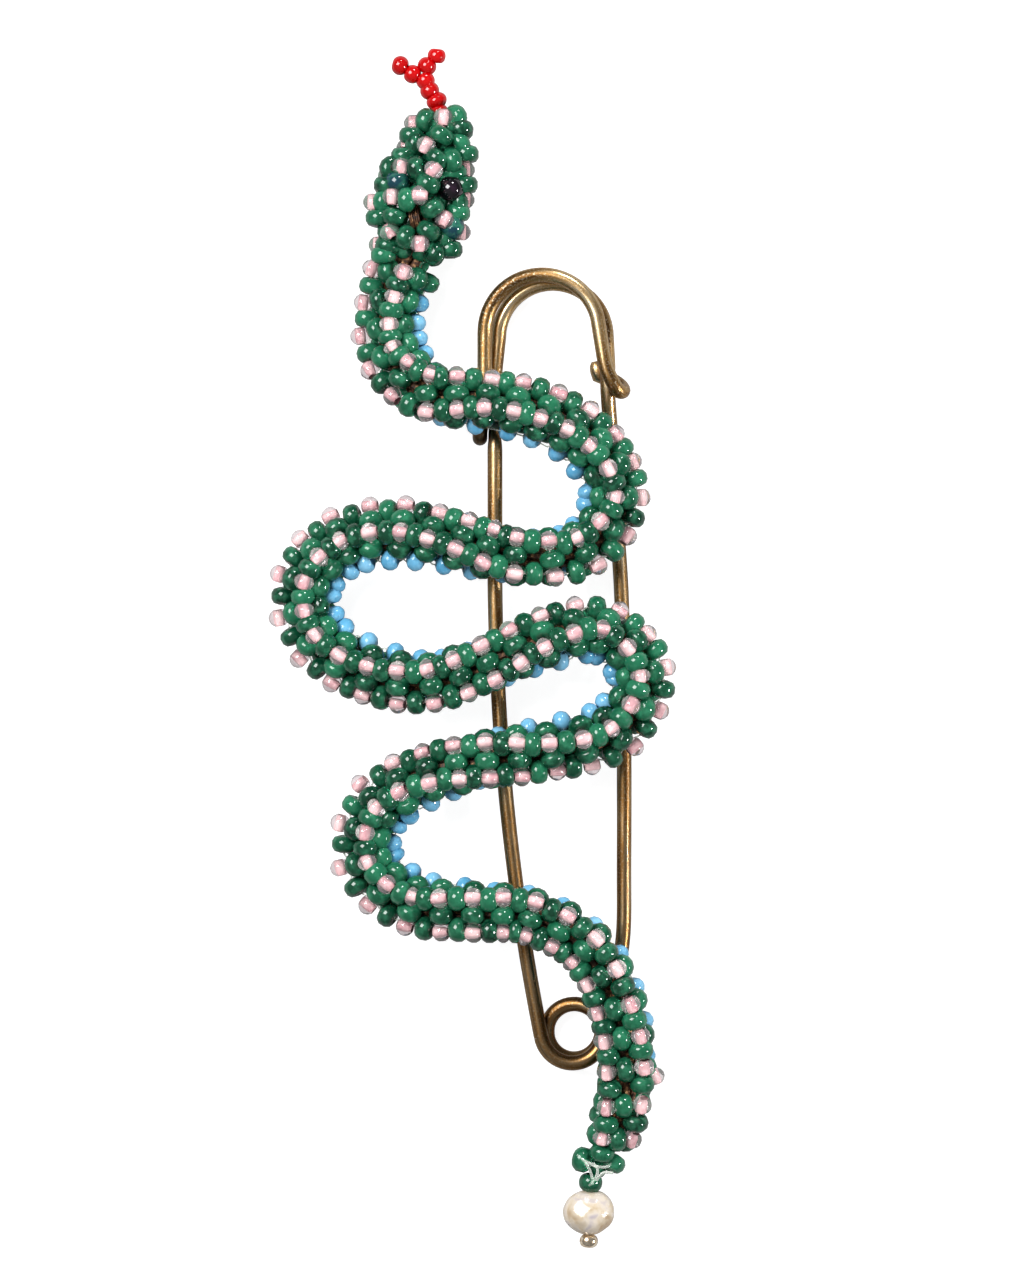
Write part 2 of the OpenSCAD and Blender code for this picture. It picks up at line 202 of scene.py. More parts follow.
# Antique brass wire, drawn and then darkened: worn gold on the high streaks, brown patina in drawing lines
# about 0.15 mm apart, a fine speckle, browner towards the coil end of the frame, and a painted shadow in the
# bend of the catch, under the rope. The UV map of a wire is in millimetres, along it and round it.
def antiqueBrass():
    material = newMaterial("antiqueBrassWire")
    wire = addNode(material, "ShaderNodeTexCoord").outputs["UV"]
    streakPlace = addNode(material, "ShaderNodeMapping", {"Vector": wire, "Scale": (0.10, 1.2, 1)})
    streaks = noise(material, streakPlace.outputs[0], 1, 4)
    linePlace = addNode(material, "ShaderNodeMapping", {"Vector": wire, "Scale": (0.35, 6.5, 1)})
    lines = noise(material, linePlace.outputs[0], 1, 2)
    skin = ramp(material, streaks, [(0.34, "5a3f22"), (0.46, "a87f4a"), (0.56, "d0b080"), (0.70, "f8e6c4")])
    patina = ranged(material, lines, (0.48, 0.75), (0.0, 0.6))
    speckle = ranged(material, noise(material, wire, 0.2, 2), (0.52, 0.72), (0.0, 0.5))
    place = addNode(material, "ShaderNodeTexCoord").outputs["Object"]
    # browner along y, more so towards the coil end of the frame
    along = addNode(material, "ShaderNodeSeparateXYZ", {0: place}).outputs["Y"]
    browner = ranged(material, along, (-24 * mm, 30 * mm), (0.62, 0.0))
    # painted shadow: dark brown in the bend of the catch, where the rope lies over it
    fromCatch = addNode(
        material, "ShaderNodeVectorMath", {0: place, 1: (0.5 * mm, 20.3 * mm, 1.4 * mm)}, operation="DISTANCE"
    )
    catchShadow = ranged(material, fromCatch.outputs["Value"], (1.2 * mm, 2.6 * mm), (0.8, 0.0))
    for share, shade in ((patina, "3a2612"), (speckle, "f0e4c6"), (browner, "5c3b1b"), (catchShadow, "2c1d1a")):
        skin = overlaid(material, share, skin, shade)
    rough = ranged(material, streaks, (0.3, 0.7), (0.40, 0.24))
    relief = bump(material, lines, 0.3, 0.03 * mm)
    return finished(material, {"Base Color": skin, "Metallic": 1.0, "Roughness": rough, "Normal": relief})


brass = antiqueBrass()


# Copper-brown strands that fill the rope: dull and stained, in patches of 0.3 mm, and dark enough that they
# also stand as painted shade in the gaps between the beads
def coreCopper():
    material = newMaterial("brownCopperStrands")
    place = addNode(material, "ShaderNodeTexCoord").outputs["Object"]
    stains = noise(material, place, 0.3 * mm, 3)
    # the dark low end of this ramp is partly painted shade for the rope's gaps
    base = ramp(material, stains, [(0.35, "1c0f08"), (0.55, "50321d"), (0.75, "b0845a")])
    return finished(material, {"Base Color": base, "Metallic": 0.5, "Roughness": 0.45})


copperAndGapShade = coreCopper()


# Cream freshwater pearl: nacre lustre over low lumps of 1.3 mm, rosy on the crests and beige in the hollows,
# where the beige is partly the nacre's own tone and partly painted shade
def nacrePearl():
    material = newMaterial("creamNacre")
    place = addNode(material, "ShaderNodeTexCoord").outputs["Object"]
    lumps = noise(material, place, 1.3 * mm, 2, 0.5)
    # darker beige where the lumps are low: the nacre's tone, and painted shade in the hollows
    base = ramp(material, lumps, [(0.30, "ac9476"), (0.44, "c4b49c"), (0.58, "cdc2b4"), (0.75, "b2a8ac")])
    return finished(
        material,
        {
            "Base Color": base, "Roughness": 0.26, "IOR": 1.6, "Coat Weight": 0.5, "Coat Roughness": 0.2,
            "Normal": bump(material, lumps, 0.45, 0.3 * mm)
        }
    )


nacre = nacrePearl()


# Pale gold plate on the end bead, polished, with rub marks of 0.4 mm where the copper shows
def goldPlate():
    material = newMaterial("paleGoldPlate")
    place = addNode(material, "ShaderNodeTexCoord").outputs["Object"]
    rub = noise(material, place, 0.4 * mm, 3)
    base = ramp(material, rub, [(0.4, "fff0d8"), (0.65, "ceb08e")])
    rough = ranged(material, rub, (0.35, 0.7), (0.12, 0.3))
    return finished(material, {"Base Color": base, "Metallic": 1.0, "Roughness": rough})


gold = goldPlate()
print("materials ready")


# Shape helpers
def onlySelect(*objects):
    bpy.context.view_layer.update()
    bpy.ops.object.select_all(action="DESELECT")
    for thing in objects:
        thing.select_set(True)
    bpy.context.view_layer.objects.active = objects[0]


def dress(piece, name, body, nodes, material=None):
    piece.name = name
    if material:
        piece.data.materials.clear()
        piece.data.materials.append(material)
    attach(piece, body)
    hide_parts(*nodes)


def editEnds(piece):
    bpy.context.tool_settings.mesh_select_mode = (False, False, True)
    mesh = piece.data
    mesh.vertices.foreach_set("select", [False] * len(mesh.vertices))
    mesh.edges.foreach_set("select", [False] * len(mesh.edges))
    for polygon in mesh.polygons:
        polygon.select = abs(polygon.normal.z) > 0.9  # the flat ends
    bpy.ops.object.mode_set(mode="EDIT")


# A seed bead: a short rod whose ends are drawn in over a round shoulder, and a crown if it has one, to the rim
# of its hole. A second material goes on the wall of the hole.
def beadMaster(name, size, materials):
    bpy.ops.mesh.primitive_cylinder_add(
        vertices=size["sides"], radius=size["radius"], depth=2 * size["waist"], location=(0, 0, 0)
    )
    bead = bpy.context.object
    bead.name = name
    editEnds(bead)
    bpy.ops.mesh.inset(thickness=size["radius"] - size["shoulder"], depth=size["shoulderAt"] - size["waist"])
    if "crown" in size:
        bpy.ops.mesh.inset(thickness=size["shoulder"] - size["crown"], depth=size["half"] - size["shoulderAt"])
        bpy.ops.mesh.inset(thickness=size["crown"] - size["hole"], depth=size["mouthAt"] - size["half"])
    else:
        bpy.ops.mesh.inset(thickness=size["shoulder"] - size["hole"], depth=size["half"] - size["shoulderAt"])
    bpy.ops.mesh.delete(type="FACE")
    bpy.ops.mesh.select_all(action="DESELECT")
    bpy.ops.mesh.select_mode(type="EDGE")
    bpy.ops.mesh.select_non_manifold()
    bpy.ops.mesh.bridge_edge_loops()
    bpy.ops.mesh.select_all(action="SELECT")
    bpy.ops.mesh.normals_make_consistent(inside=False)
    bpy.ops.object.mode_set(mode="OBJECT")
    bpy.ops.object.shade_smooth()
    for material in materials:
        bead.data.materials.append(material)
    if len(materials) > 1:
        for polygon in bead.data.polygons:  # the hole's wall looks towards the axis
            away = Vector((polygon.center.x, polygon.center.y, 0))
            if polygon.normal.dot(away) < 0 and abs(polygon.normal.z) < 0.5:
                polygon.material_index = 1
    return bead


# Where a copy of a bead goes: its middle, the way of its hole, and its size
def beadMatrix(middle, hole, width=1.0, length=1.0, spin=0.0):
    turn = Vector((0, 0, 1)).rotation_difference(hole.normalized()).to_matrix().to_4x4()
    return (
        Matrix.Translation(middle) @ turn @ Matrix.Rotation(spin, 4, "Z") @ Matrix.Diagonal((width, width, length, 1))
    )


def copyBead(master, matrix, tone):
    bead = master.copy()
    bead.data = master.data.copy()
    bead.data.transform(matrix)
    shades = bead.data.attributes.new("beadTone", "FLOAT", "POINT")
    shades.data.foreach_set("value", [tone] * len(bead.data.vertices))
    bpy.context.collection.objects.link(bead)
    return bead


def joined(pieces):
    onlySelect(*pieces)
    bpy.ops.object.join()
    return bpy.context.object


# A wire or thread along a line of points, with a UV map in millimetres along it and round it. A taper draws its
# start in: shares of the radius, and how many millimetres apart they are.
def tube(points, radius, rounds, step=None, taper=None):
    if step:
        points = evenly(points, step)
    curve = bpy.data.curves.new("line", "CURVE")
    curve.dimensions = "3D"
    curve.bevel_depth = radius
    curve.bevel_resolution = rounds
    curve.use_fill_caps = True
    spline = curve.splines.new("POLY")
    spline.points.add(len(points) - 1)
    done = 0
    for i, (knot, point) in enumerate(zip(spline.points, points)):
        knot.co = (*point, 1)
        done += (point - points[max(i - 1, 0)]).length
        if taper:
            last = len(taper["shares"]) - 1
            knot.radius = through(taper["shares"], min(done / mm / taper["spacing"], last))[0]
    piece = bpy.data.objects.new("line", curve)
    bpy.context.collection.objects.link(piece)
    onlySelect(piece)
    bpy.ops.object.convert(target="MESH")
    bpy.ops.object.mode_set(mode="EDIT")
    bpy.ops.mesh.select_all(action="SELECT")
    bpy.ops.mesh.remove_doubles(threshold=radius * 0.01)
    bpy.ops.mesh.normals_make_consistent(inside=False)
    bpy.ops.object.mode_set(mode="OBJECT")
    bpy.ops.object.shade_smooth_by_angle(angle=math.radians(50))
    length = sum((b - a).length for a, b in zip(points, points[1:]))
    for corner in piece.data.uv_layers[0].data:
        corner.uv = (corner.uv.x * length / mm, corner.uv.y * 2 * math.pi * radius / mm)
    return piece


def evenly(points, step):
    lengths = [0]
    for a, b in zip(points, points[1:]):
        lengths.append(lengths[-1] + (b - a).length)
    count = max(2, round(lengths[-1] / step))
    placed, i = [], 0
    for k in range(count + 1):
        want = lengths[-1] * k / count
        while i < len(points) - 2 and lengths[i + 1] < want:
            i += 1
        share = (want - lengths[i]) / (lengths[i + 1] - lengths[i])
        placed.append(points[i].lerp(points[i + 1], min(max(share, 0), 1)))
    return placed


# A smooth line through rows of numbers; f counts rows
def through(rows, f):
    i = min(max(math.floor(f), 0), len(rows) - 2)
    t = f - i
    around = rows[max(i - 1, 0)], rows[i], rows[i + 1], rows[min(i + 2, len(rows) - 1)]
    return [
        0.5 * (2 * b + (c - a) * t + (2 * a - 5 * b + 4 * c - d) * t ** 2 + (3 * b - a - 3 * c + d) * t ** 3)
        for a, b, c, d in zip(*around)
    ]


# The rope's middle line, as the part's source has it: a row at every second bead unit from the snout to the tail.
# Millimetres x, y, z, roll of its back in degrees, widths across and through as shares of the plain rope, and
# how far the beads of the right and the left edge run ahead, in units.
rope = {
    "firstUnit": -8, "neckUnit": -1, "tailUnit": 64,
    "rows": [
        [-3.3, 50.3, 3, 40, 0.62, 0.55, 0, 0], [-3.3, 46.4, 3.4, 40, 1, 0.92, 0, 0],
        [-4.5, 42, 3.8, 40, 1.4, 1.08, 0, 0], [-5.7, 37.5, 3.7, 43, 1.22, 1.04, 0.2, -0.1],
        [-7.5, 32.7, 3.3, 46, 1.1, 1, 0.27, -0.1], [-7.4, 27.9, 3.6, 47, 1.12, 1, 0.32, 0.07],
        [-4.5, 24.1, 5.3, 10, 1.05, 1, 0.39, 0], [1, 22.9, 6.1, -35, 1, 1, 0.05, 0.07],
        [6.2, 21.8, 5.9, -39, 1.07, 1, -0.08, 0.23], [10.7, 18.9, 5, -47, 1.1, 1, -0.18, 0.22],
        [12.9, 14.1, 4.5, -50, 1.08, 1, -0.07, -0.06], [9.9, 9.5, 5.1, -23, 1, 1, 0.1, -0.1],
        [4, 8.7, 6, 0, 1, 1, 0.09, 0.09], [-1.6, 9.8, 5.8, 35, 1, 1, -0.26, -0.1],
        [-7, 10.6, 4.4, 53, 1.07, 1, -0.15, -0.28], [-12.1, 9.8, 3.1, 56, 1.1, 1, 0.02, -0.1],
        [-15.4, 6.3, 2.9, 56, 1.1, 1, 0.02, 0.05], [-14.6, 1.5, 2.9, 54, 1.05, 1, 0.22, 0.05],
        [-10, -1.7, 3.6, 43, 1.05, 1, 0.22, 0.17], [-4.3, -2.9, 5.2, 20, 1, 1, 0.2, 0.17],
        [1.3, -1.3, 6, -2, 1, 1, 0.1, 0], [6.5, 0.7, 5.9, -35, 1, 1, -0.1, 0.1],
        [11.8, 1.6, 5, -52, 1.03, 1, -0.15, 0.25], [15.4, -2.4, 4.5, -46, 1.06, 1, 0, -0.1],
        [12.8, -7.4, 4.9, -43, 1.06, 1, 0.15, -0.15], [7.1, -9, 6, -38, 1, 1, 0.1, 0],
        [1.2, -10.2, 6, -3, 1, 1, -0.13, 0.04], [-4.3, -12, 5, 38, 1, 1, -0.22, -0.2],
        [-8.9, -15, 3.3, 53, 1.06, 1, -0.2, -0.25], [-9.7, -19.8, 2.9, 51, 1.08, 1, -0.1, 0],
        [-5.9, -23.4, 3.7, 37, 1.06, 1, 0.15, 0.25], [-0.3, -24.2, 5.5, 18, 1, 1, 0.2, 0.15],
        [5.4, -24.8, 6, 11, 0.98, 1, 0, 0], [10.5, -27.7, 6, 15, 0.98, 1, 0, 0],
        [13.5, -33.1, 6, 19, 1.0, 1, 0, 0], [14.2, -39.4, 4.8, 2, 1.02, 0.96, -0.1, -0.3],
        [12.9, -45.5, 3.1, -18, 0.80, 0.85, 0, -0.2], [11.2, -49.1, 2.6, -15, 0.5, 0.7, 0, 0]
    ]
}


def ropeRow(unit):
    return through(rope["rows"], (unit - rope["firstUnit"]) / 2)


# A point round the rope: angle in degrees from its back, to the right as one travels to the tail
def ropePoint(unit, angle, reach):
    aheadRight, aheadLeft = ropeRow(unit)[6:]
    rightShare = min(max(0.5 + math.sin(math.radians(angle)) / math.sqrt(2), 0), 1)
    upper = min(max((1 + math.cos(math.radians(angle)) * math.sqrt(2)) / 2, 0), 1)  # the lower edges run even
    unit += upper * (aheadLeft + (aheadRight - aheadLeft) * rightShare)
    x, y, z, roll, wide, high = ropeRow(unit)[:6]
    travel = Vector(ropeRow(unit + 0.1)[:3]) - Vector(ropeRow(unit - 0.1)[:3])
    side = travel.cross(Vector((0, 0, 1))).normalized()
    up = side.cross(travel).normalized()
    turn = math.radians(roll + angle)
    return (Vector((x, y, z)) + reach * (math.sin(turn) * wide * side + math.cos(turn) * high * up)) * mm


# Beads, in millimetres: the rod's radius and half length, then the radius and place of each ring towards the hole
green = {"radius": 1.18, "waist": 0.28, "shoulder": 0.95, "shoulderAt": 0.66, "hole": 0.42, "half": 0.84, "sides": 12}
pink = {
    "radius": 0.94, "waist": 0.18, "shoulder": 0.76, "shoulderAt": 0.53, "crown": 0.49, "half": 0.76, "hole": 0.37,
    "mouthAt": 0.46, "sides": 10
}
blue = {"radius": 1.00, "waist": 0.16, "shoulder": 0.79, "shoulderAt": 0.58, "hole": 0.34, "half": 0.84, "sides": 12}


def inMetres(size):
    return {key: value if key == "sides" else value * mm for key, value in size.items()}


greenBead = beadMaster("greenBead", inMetres(green), [greenGlass])
pinkBead = beadMaster("pinkBead", inMetres(pink), [clearGlass, pinkLining])
blueBead = beadMaster("blueBead", inMetres(blue), [blueGlass])

# Weave of the rope: two edge rows of green beads with pink-lined beads between them, two blue edge rows below,
# and a green bead across each of the four faces at every unit. Reaches and shifts in millimetres, angles in degrees,
# tilts as shares of a full lean; a share is how much of its room along the row a bead fills.
weave = {
    "greenReach": 2.14, "pinkReach": 2.43, "blueReach": 2.08, "faceReach": 1.60,
    "greenShare": 0.59, "pinkShare": 0.53, "blueShare": 1.02,
    "edgeSpan": 0.35, "edgeLengths": (0.98, 1.05), "edgeWidths": (0.96, 1.03), "edgeTilt": 0.07, "edgeShift": 0.05,
    "faceSpan": 20, "faceLengths": (0.97, 1.06), "faceWidths": (0.97, 1.05), "faceTilt": 0.08, "faceShift": 0.06,
    "stagger": 0.5, "staggerFrom": 100, "staggerTo": 140,  # for beads that lie underneath
    "outerSpread": 0.34, "outerFrom": 88, "outerTo": 98,  # for pink beads in the bends to the left
    "blueLeads": [  # how far the blue beads run ahead, at every fourth unit
        [-0.55], [-0.9], [-0.45], [0.1], [-0.1], [-0.2], [0], [0.2], [-0.1], [-0.2], [0], [0], [-0.4], [0.1], [0.25],
        [0.15], [0]
    ],
    "blueEnd": 62, "strayPink": (16.8, -39.8, 5.1), "strayHole": (-0.3, 1, 0.1), "strayTone": 0.6,
    "greenTones": (0.05, 0.9), "seed": 7
}
random.seed(weave["seed"])


def wobble(amount):
    return Vector([random.uniform(-amount, amount) for axis in range(3)])


def greenTone():
    return random.uniform(*weave["greenTones"])


def anySpin():
    return random.uniform(0, 3)


def rising(value, start, end):
    return min(max((value - start) / (end - start), 0), 1)


def edgeBead(master, unit, angle, reach, share, size, tone):
    span = weave["edgeSpan"]
    ahead = ropePoint(unit + span, angle, reach)
    behind = ropePoint(unit - span, angle, reach)
    room = (ahead - behind).length / (2 * span) * share / (2 * size["half"] * mm)
    length = min(1.0, room) * random.uniform(*weave["edgeLengths"])
    width = random.uniform(*weave["edgeWidths"])
    hole = (ahead - behind).normalized() + wobble(weave["edgeTilt"])
    middle = ropePoint(unit, angle, reach) + wobble(weave["edgeShift"] * mm)
    middle.z = max(middle.z, size["radius"] * width * mm)  # the lowest beads lie on the table
    return copyBead(master, beadMatrix(middle, hole, width, length, anySpin()), tone)


def faceBead(unit, angle, reach):
    under = abs((ropeRow(unit)[3] + angle + 180) % 360 - 180)
    unit += weave["stagger"] * rising(under, weave["staggerFrom"], weave["staggerTo"])  # closes the gaps above
    ahead = ropePoint(unit, angle + weave["faceSpan"], reach)
    behind = ropePoint(unit, angle - weave["faceSpan"], reach)
    hole = (ahead - behind).normalized() + wobble(weave["faceTilt"])
    middle = ropePoint(unit, angle, reach) + wobble(weave["faceShift"] * mm)
    width = random.uniform(*weave["faceWidths"])
    length = random.uniform(*weave["faceLengths"])
    return copyBead(greenBead, beadMatrix(middle, hole, width, length, anySpin()), greenTone())


greens, pinks, blues = [], [], []
for unit in range(rope["neckUnit"], rope["tailUnit"] + 1):
    for angle in (45, -45):
        outward = rising(ropeRow(unit)[3] + angle, weave["outerFrom"], weave["outerTo"])
        reach = weave["pinkReach"] + weave["outerSpread"] * outward
        pinks.append(edgeBead(pinkBead, unit, angle, reach, weave["pinkShare"], pink, random.random()))
    for angle in (0, 90, 180, 270):
        greens.append(faceBead(unit, angle, weave["faceReach"]))
    if unit == rope["tailUnit"]:
        break
    for angle in (45, -45):
        greens.append(
            edgeBead(greenBead, unit + 0.5, angle, weave["greenReach"], weave["greenShare"], green, greenTone())
        )
    shift = through(weave["blueLeads"], max(unit, 0) / 4)[0]
    for angle in (135, -135):
        place = unit + 0.5 + shift, angle, weave["blueReach"], weave["blueShare"]
        if unit < 0 or unit >= weave["blueEnd"]:  # the neck and the tail have green beads below too
            greens.append(edgeBead(greenBead, *place, green, greenTone()))
        else:
            blues.append(edgeBead(blueBead, *place, blue, random.random()))
strayPlace = beadMatrix(Vector(weave["strayPink"]) * mm, Vector(weave["strayHole"]))
pinks.append(copyBead(pinkBead, strayPlace, weave["strayTone"]))  # one out of line, above the tail
dress(joined(greens), "bodyGreenBeads", "brooch", ["snake_body"])
dress(joined(pinks), "bodyPinkBeads", "brooch", ["snake_body"])
dress(joined(blues), "bodyBlueBeads", "brooch", ["snake_body"])
print("body woven from", len(greens), "green,", len(pinks), "pink and", len(blues), "blue beads")

# Head: each bead of the upper side by its place, the way of its hole in degrees from x, and how far it stands proud
head = {
    "greens": [
        [-4.5, 49.4, -10, 0.0], [-1.8, 49.7, 0, -0.3], [-3.1, 48.0, 60, 0.1], [-1.3, 48.6, 70, -0.3],
        [-5.9, 48.0, 80, -0.3], [-5.4, 47.2, 0, -0.1], [-1.5, 47.2, 20, -0.5], [-0.8, 46.3, 90, -0.4],
        [-6.6, 46.1, 85, -0.3], [-3.5, 45.8, 55, 0.2], [-2.1, 45.6, 8, 0.1], [-5.4, 44.9, 0, 0.2],
        [-7.7, 44.9, 0, -0.4], [-8.25, 43.4, 90, -0.5], [-4.3, 43.4, 55, 0.3], [-0.9, 43.4, 90, -0.6],
        [-8.4, 41.8, 0, -0.1], [-6.3, 41.9, 0, 0.3], [-3.9, 41.1, -55, 0.3], [-9.0, 40.3, 90, -0.5],
        [-7.5, 40.4, 70, 0.2], [-1.6, 40.8, 90, -0.3], [-4.3, 39.0, 60, 0.3], [-6.4, 38.4, -16, 0.3],
        [-8.1, 37.7, 80, -0.4], [-3.8, 37.0, -20, 0.1], [-2.3, 37.4, 90, -0.4], [-8.5, 36.8, 90, -0.1]
    ],
    "teals": [[-7.2, 43.6, 90, 0.1], [-2.1, 39.4, -28, 0.1]],
    "pinks": [
        [-2.9, 49.7, 90, 0.5], [-4.5, 47.0, 60, 0.6], [-6.8, 45.1, 90, 1.0], [-3.8, 44.7, 45, 0.6],
        [-7.7, 42.2, 90, 0.5], [-5.1, 42.3, 0, 0.6], [-2.8, 40.1, 60, 0.6], [-7.9, 38.9, 135, 0.4],
        [-5.1, 37.8, 90, 0.6]
    ],
    "edgePinks": [  # one each, at half height
        [-5.7, 49.2, 90, 0], [-6.4, 46.9, 90, 0], [-0.9, 44.8, 90, 0], [-8.1, 44.3, 90, 0], [-9.5, 41.8, 90, 0],
        [-0.9, 42.0, 90, 0], [-1.3, 39.0, 90, 0], [-9.0, 37.8, 90, 0]
    ],
    "hidden": [[-1.7, 41.7, 0, -1.6], [-1.9, 44.5, 90, -1.5], [-3.0, 38.3, 0, -1.5], [-7.9, 39.0, 90, -1.4]],
    "innerReach": 1.0, "edgeRise": 1.1, "widest": 0.98, "underShare": 0.3, "tilt": 0.06, "widths": (0.97, 1.03),
    "tealTone": 1.0, "tealLength": 1.1
}
# Head outline: y, middle, half width of the bead middles, middle height, half height
headRows = [
    [51.0, -3.2, 1.2, 3.0, 1.0], [50.0, -3.25, 1.9, 3.1, 1.4], [48.5, -3.27, 2.4, 3.3, 1.9],
    [47.0, -3.6, 2.9, 3.4, 2.1], [45.5, -3.8, 3.4, 3.6, 2.3], [44.0, -4.2, 3.6, 3.7, 2.4],
    [42.5, -4.9, 3.9, 3.8, 2.5], [41.0, -5.0, 3.9, 3.8, 2.5], [39.5, -5.2, 3.8, 3.7, 2.5],
    [38.0, -5.6, 3.5, 3.7, 2.4], [36.5, -6.2, 3.3, 3.5, 2.3]
]


def headSection(y):
    f = (headRows[0][0] - y) / (headRows[0][0] - headRows[-1][0]) * (len(headRows) - 1)
    return through(headRows, min(max(f, 0), len(headRows) - 1))[1:]


def headBead(master, place, side, tone, length=1.0):
    x, y, turn, proud = place
    middle, halfWidth, midHeight, halfHeight = headSection(y)
    across = min(max((x - middle) / halfWidth, -head["widest"]), head["widest"])
    rise = math.sqrt(1 - across ** 2)
    if side < 0:
        proud *= head["underShare"]  # the underside lies flatter, on the table
    z = midHeight + side * max((halfHeight + proud) * rise, head["edgeRise"])
    normal = Vector((across / halfWidth, 0, side * rise / halfHeight)).normalized()
    hole = Vector((math.cos(math.radians(turn)), math.sin(math.radians(turn)), 0))
    hole = (hole - normal * hole.dot(normal)).normalized() + wobble(head["tilt"])
    matrix = beadMatrix(Vector((x, y, z)) * mm, hole, random.uniform(*head["widths"]), length, anySpin())
    return copyBead(master, matrix, tone)


headGreens, headPinks = [], []
for unit in range(rope["firstUnit"] + 1, rope["neckUnit"]):  # the rope goes on inside and shows in the head's gaps
    headGreens += [faceBead(unit, angle, head["innerReach"]) for angle in (0, 90, 180, 270)]
for side in (1, -1):
    headGreens += [headBead(greenBead, place, side, greenTone()) for place in head["greens"]]
    headGreens += [headBead(greenBead, place, side, head["tealTone"], head["tealLength"]) for place in head["teals"]]
    headGreens += [headBead(greenBead, place, side, greenTone()) for place in head["hidden"]]
    headPinks += [headBead(pinkBead, place, side, random.random()) for place in head["pinks"]]
headPinks += [headBead(pinkBead, place, 0, random.random()) for place in head["edgePinks"]]
dress(joined(headGreens), "headGreenBeads", "brooch", ["snake_head"])
dress(joined(headPinks), "headPinkBeads", "brooch", ["snake_head"])
print("head woven from", len(headGreens), "green and", len(headPinks), "pink beads")

# Pin wire, millimetres, with the same places and radii as the part's source
pin = {
    "radius": 0.7, "rear": 0.7, "front": 2.15, "step": 0.35, "rounds": 6, "shankTop": (1.9, 18.8), "straight": 10.8,
    "curveRadius": 228, "curveTurn": 11.2, "straightSteps": 12, "curveSteps": 48,
    "pointOffset": (-0.4, 3.2, -0.5), "shoulder": 0.8,  # from the top of the shank
    "point": {"shares": [[0.14], [0.30], [0.48], [0.64], [0.78], [0.89], [0.96], [1.0]], "spacing": 0.5},
    "coilRadius": 2.65, "coilStartRadius": 3.05, "coilWaistRadius": 2.45, "coilLean": 2, "coilWaistAt": 540,
    "coilEnd": 720, "coilSteps": 106, "dropStart": 370, "dropEnd": 550,
    "backArch": (7.3, 29.25, 5.05), "frontArch": (6.3, 29.7, 5.35), "frontArchEnd": 15, "frontArchRise": 1.35,
    "archSteps": 24, "catch": (0.5, 20.5), "catchSteps": 12, "toCatch": [(1.9, 25.9), (0.85, 21.8)],
    "fromCatch": [(0.65, 21.8), (0.95, 26.1)], "legDown": (12.1, 27.2), "wrapMiddle": (12.45, 2.15),
    "wrapRadius": 1.45, "wrapHeights": (26.2, 24.1, 25.6), "wrapTurns": (-5, 55, 215), "wrapTip": (11.35, 27.0, 0.95),
    "roundEnd": {"shares": [[0.6], [0.92], [1.0], [1.0]], "spacing": 0.35}
}


def dot(x, y, z):
    return Vector((x, y, z)) * mm


# Points along a smooth line through places in millimetres
def smoothLine(places, steps):
    return [dot(*through(places, i / steps)) for i in range(steps * (len(places) - 1) + 1)]


def turned(middle, radius, start, end, zStart, zEnd):
    points = []
    for i in range(pin["archSteps"] + 1):
        share = i / pin["archSteps"]
        angle = math.radians(start + (end - start) * share)
        z = zStart + (zEnd - zStart) * share
        points.append(dot(middle[0] + radius * math.cos(angle), middle[1] + radius * math.sin(angle), z))
    return points


turn = math.radians(pin["curveTurn"])
needleEnd = (
    pin["shankTop"][0] + pin["curveRadius"] * (1 - math.cos(turn)),
    pin["shankTop"][1] - pin["straight"] - pin["curveRadius"] * math.sin(turn)
)
coilStart = 180 + pin["curveTurn"] - pin["coilLean"]
coilMiddle = (
    needleEnd[0] - pin["coilStartRadius"] * math.cos(math.radians(coilStart)),
    needleEnd[1] - pin["coilStartRadius"] * math.sin(math.radians(coilStart))
)
barRows = [
    [coilMiddle[0] + pin["coilRadius"], coilMiddle[1], 0.7], [coilMiddle[0] + 2.67, coilMiddle[1] + 1.3, 0.7],
    [13, -31.5, 0.7], [13.9, -27, 0.7], [14, -20, 0.7], [14, -8, 0.7], [13.8, 4, 0.7], [13.4, 11, 0.7],
    [13.1, 16.5, 0.85], [12.7, 21, 1.45], [12.45, 24.4, 2.15], [12.5, 26.5, 2.15]
]


def wrapPoint(angle):
    start, low, end = pin["wrapTurns"]
    top, bottom, last = pin["wrapHeights"]
    if angle < low:
        y = top + (bottom - top) * math.sin(math.pi / 2 * (angle - start) / (low - start))
    else:
        y = bottom + (last - bottom) * (0.5 - 0.5 * math.cos(math.pi * (angle - low) / (end - low)))
    x, z = pin["wrapMiddle"]
    lean = math.radians(angle)
    return dot(x + pin["wrapRadius"] * math.sin(lean), y, z + pin["wrapRadius"] * math.cos(lean))


# Frame: up the bar, over the back arch, round the catch, back over the front arch, and one wrap round the bar
rear, front = pin["rear"], pin["front"]
catchX, catchY = pin["catch"]
catchBend, catchHeight = (front - rear) / 2, (front + rear) / 2
framePoints = smoothLine(barRows, steps=10)
framePoints += turned(pin["backArch"][:2], pin["backArch"][2], 0, 180, front, rear)
framePoints += [dot(x, y, rear) for x, y in pin["toCatch"]]
for step in range(pin["catchSteps"] + 1):
    angle = math.pi * step / pin["catchSteps"]
    framePoints.append(
        dot(catchX, catchY - catchBend * math.sin(angle), catchHeight - catchBend * math.cos(angle))
    )
framePoints += [dot(x, y, front) for x, y in pin["fromCatch"]]
framePoints += turned(
    pin["frontArch"][:2], pin["frontArch"][2], 180, pin["frontArchEnd"], front, front + pin["frontArchRise"]
)
framePoints.append(dot(*pin["legDown"], front + pin["wrapRadius"]))
framePoints += [wrapPoint(angle) for angle in range(pin["wrapTurns"][0], pin["wrapTurns"][2] + 1, 10)]
framePoints.append(dot(*pin["wrapTip"]))
framePoints.reverse()
frameWire = tube(framePoints, pin["radius"] * mm, pin["rounds"], pin["step"] * mm, pin["roundEnd"])
dress(frameWire, "frameWire", "brooch", ["pin_frame"], brass)

